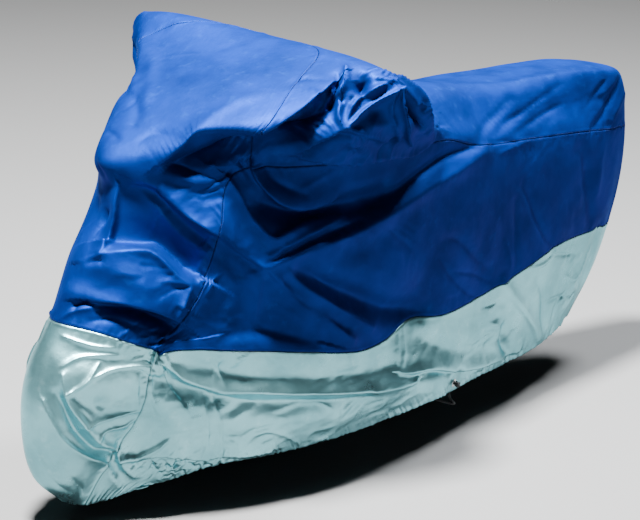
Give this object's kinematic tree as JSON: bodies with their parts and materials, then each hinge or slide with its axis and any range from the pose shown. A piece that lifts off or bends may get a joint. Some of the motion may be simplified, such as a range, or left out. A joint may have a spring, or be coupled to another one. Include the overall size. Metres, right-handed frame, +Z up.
{
  "type": "motorcycle cover",
  "caption": "Fitted coated-nylon cover, blue above and silver below, hollow and open underneath, with gathered hem, eyelets and an elastic cord.",
  "frame": {"origin": "the top_rest mount, just under the cloth at the middle of the cover's top, over the dip behind the front bags", "axes": "+X towards the cover's front end, +Y to its left, +Z up"},
  "size_m": [2.226, 0.8625, 1.122],
  "materials": {
    "blue_nylon": "glossy coated taffeta",
    "silver_nylon": "satin aluminium-coated taffeta",
    "eyelet_metal": "polished, slightly dull",
    "elastic_cord": "braided, matt"
  },
  "bodies": {
    "root": {"front_panel": "blue_nylon", "top_panel": "blue_nylon", "side_left": "blue_nylon", "side_right": "blue_nylon", "skirt_front": "silver_nylon", "skirt_left": "silver_nylon", "skirt_right": "silver_nylon", "eyelet_left": "eyelet_metal", "eyelet_right": "eyelet_metal", "belly_cord": "elastic_cord", "cord_knot_left": "elastic_cord", "cord_knot_right": "elastic_cord"}
  },
  "joints": []
}
